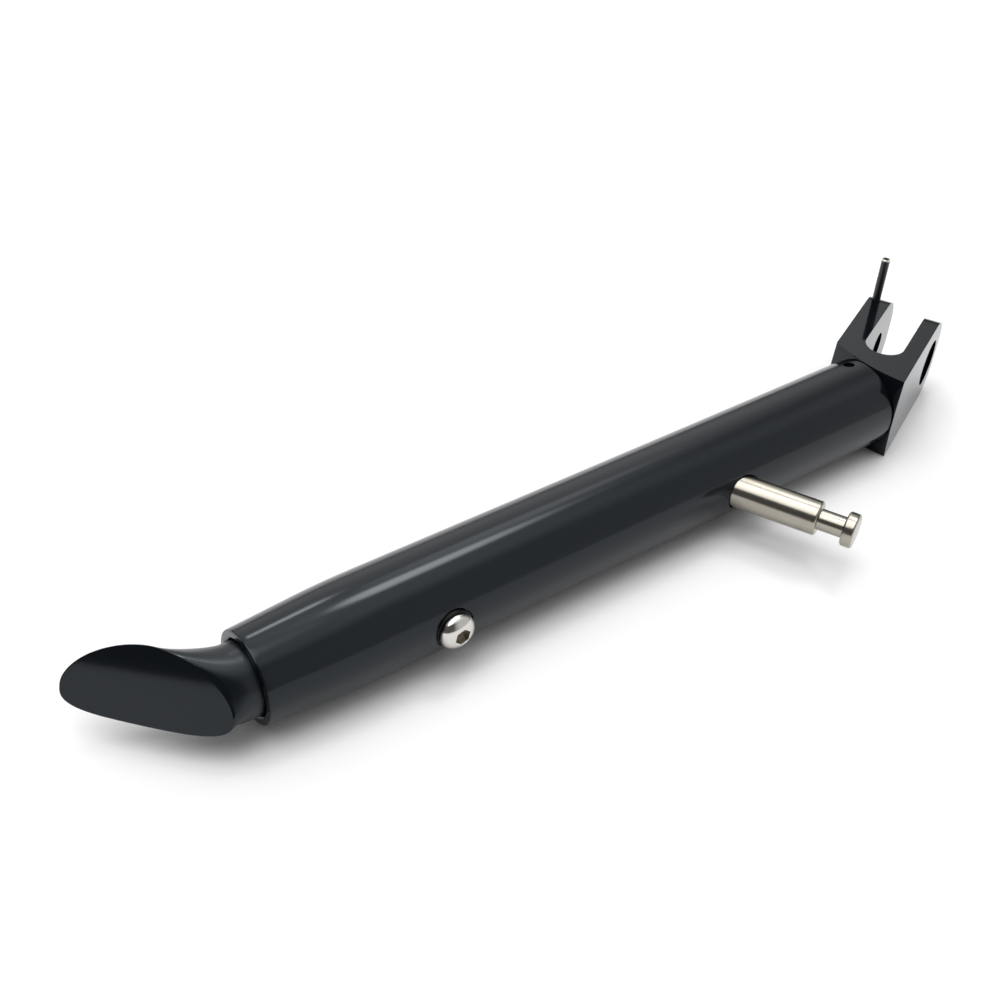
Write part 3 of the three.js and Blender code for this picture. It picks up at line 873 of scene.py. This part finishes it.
anodised_tube = black_anodised("anodised_tube", rough_low=0.12, rough_high=0.16, gloss_index=1.40)
anodised_fork = black_anodised("anodised_fork", rough_low=0.05, rough_high=0.08, gloss_index=1.45)
anodised_foot = black_anodised("anodised_foot", rough_low=0.27, rough_high=0.33, gloss_index=1.42)
anodised_foot = polished_face(anodised_foot, low=0.035, high=0.30)
stud_steel = steel(
    "stud_steel",
    dark=(0.33, 0.307, 0.262),
    light=(0.41, 0.387, 0.332),
    rough_low=0.16,
    rough_high=0.26,
    axis=ACROSS,
    ring_scale=5200.0,
)
screw_steel = steel(
    "screw_steel",
    dark=(0.60, 0.59, 0.55),
    light=(0.69, 0.68, 0.64),
    rough_low=0.10,
    rough_high=0.18,
    axis=(0, 1, 0),
    ring_scale=900.0,
)
# painted shade: the darker socket colour stands in for shade in the recess as well as for
# unpolished steel
screw_steel = paint_socket_shade(screw_steel, unpolished_and_shade_colour=(0.43, 0.40, 0.35))
grub_oxide = black_oxide("grub_oxide")
washer_oxide = black_oxide("washer_oxide")
pin_coating = coated_pin("pin_coating")

mount_piece(make_tube(), "main_tube", "leg", anodised_tube)
mount_piece(make_fork(), "clevis_fork", "leg", anodised_fork)
mount_piece(make_grub(), "clevis_set_screw", "leg", grub_oxide)
mount_piece(make_stud(), "spring_stud", "leg", stud_steel)
mount_piece(make_pin(), "switch_pin", "leg", pin_coating)
mount_piece(make_foot(), "foot", "sliding_foot", anodised_foot)
mount_piece(make_washer(), "lock_washer", "washer", washer_oxide)
mount_piece(make_lock_screw(), "length_lock_screw", "lock_screw", screw_steel)


# ---- table ----
TABLE_HALF = 30000.0


def make_table():
    """Flat table top at the height the part rests on."""
    half = TABLE_HALF
    bm = bmesh.new()
    corners = [(-half, -half, 0), (half, -half, 0), (half, half, 0), (-half, half, 0)]
    bm.faces.new([bm.verts.new(corner) for corner in corners])
    table = new_object("table", bm)
    table.data.materials.append(table_surface())


# ---- camera ----
CAMERA_PLACE = (MOUTH + Vector((-97.404, -221.436, 246.548))) * MM
CAMERA_TILT = math.radians(51.689)
CAMERA_ROLL = math.radians(-2.659)
CAMERA_HEADING = math.radians(-36.512)
CAMERA_LENS = 47.685


def make_camera():
    data = bpy.data.cameras.new("camera")
    data.lens = CAMERA_LENS
    data.sensor_width = 36.0
    data.clip_start = 0.01
    data.clip_end = 50.0
    camera = bpy.data.objects.new("camera", data)
    camera.location = CAMERA_PLACE
    camera.rotation_euler = Euler((CAMERA_TILT, CAMERA_ROLL, CAMERA_HEADING), "XYZ")
    bpy.context.scene.collection.objects.link(camera)
    bpy.context.scene.camera = camera


# ---- light ----
def toward(heading_deg, height_deg):
    """Unit vector; heading is measured from +Y towards +X."""
    heading = math.radians(heading_deg)
    height = math.radians(height_deg)
    flat = math.cos(height)
    return Vector((flat * math.sin(heading), flat * math.cos(heading), math.sin(height)))


ROOM_GLOW = 0.10
ROOM_TINT = (1, 0.995, 1, 1)
SEEN_BRIGHTNESS = 1.05
KEY_HEADING = -79.0
KEY_HEIGHT = 67.0
KEY_SPREAD = 48.0
KEY_STRENGTH = 1.05

# heading, height, inner half-angle and outer half-angle in degrees, then brightness added
SOFT_LIGHTS = [
    (0, 90, 20, 42, 0.95),
    (0, 90, 5, 16, 1.6),
    (20, 38, 12, 45, 1.0),
    (88, 58, 8, 30, 0.3),
    (61, 63, 3, 9, 8.0),
    (46, 48, 2, 9, 1.4),
    (20, 46, 1, 5, 8.0),
    (135, 20, 25, 60, 0.55),
]


def make_room():
    """Even glow with soft panels, plain white where the camera sees it directly."""
    world = bpy.data.worlds.new("studio")
    bpy.context.scene.world = world
    world.use_nodes = True
    tree = world.node_tree
    tree.nodes.clear()
    direction = tree.nodes.new("ShaderNodeTexCoord").outputs["Generated"]
    total = None
    for heading, height, inner, outer, gain in SOFT_LIGHTS:
        facing = along_axis(tree, direction, toward(heading, height))
        lobe = tree.nodes.new("ShaderNodeMapRange")
        lobe.interpolation_type = "SMOOTHSTEP"
        lobe.inputs["From Min"].default_value = math.cos(math.radians(outer))
        lobe.inputs["From Max"].default_value = math.cos(math.radians(inner))
        lobe.inputs["To Max"].default_value = gain
        link(tree, facing, lobe.inputs["Value"])
        add = tree.nodes.new("ShaderNodeMath")
        add.operation = "ADD"
        add.inputs[1].default_value = ROOM_GLOW
        if total is not None:
            link(tree, total, add.inputs[1])
        link(tree, lobe.outputs["Result"], add.inputs[0])
        total = add.outputs["Value"]
    room = tree.nodes.new("ShaderNodeBackground")
    link(tree, total, room.inputs["Strength"])
    room.inputs["Color"].default_value = ROOM_TINT
    seen = tree.nodes.new("ShaderNodeBackground")
    seen.inputs["Color"].default_value = (1, 1, 1, 1)
    seen.inputs["Strength"].default_value = SEEN_BRIGHTNESS
    choice = tree.nodes.new("ShaderNodeMixShader")
    path = tree.nodes.new("ShaderNodeLightPath")
    link(tree, path.outputs["Is Camera Ray"], choice.inputs["Fac"])
    link(tree, room.outputs["Background"], choice.inputs[1])
    link(tree, seen.outputs["Background"], choice.inputs[2])
    output = tree.nodes.new("ShaderNodeOutputWorld")
    link(tree, choice.outputs["Shader"], output.inputs["Surface"])


def make_key():
    """One wide soft source that lights the whole table evenly."""
    data = bpy.data.lights.new("key_light", "SUN")
    data.angle = math.radians(KEY_SPREAD)
    data.energy = KEY_STRENGTH
    key = bpy.data.objects.new("key_light", data)
    key.rotation_euler = toward(KEY_HEADING, KEY_HEIGHT).to_track_quat("Z", "Y").to_euler()
    bpy.context.scene.collection.objects.link(key)


make_table()
make_camera()
make_room()
make_key()

view = bpy.context.scene.view_settings
view.view_transform = "Standard"
view.look = "None"
view.exposure = 0.0
view.gamma = 1.0
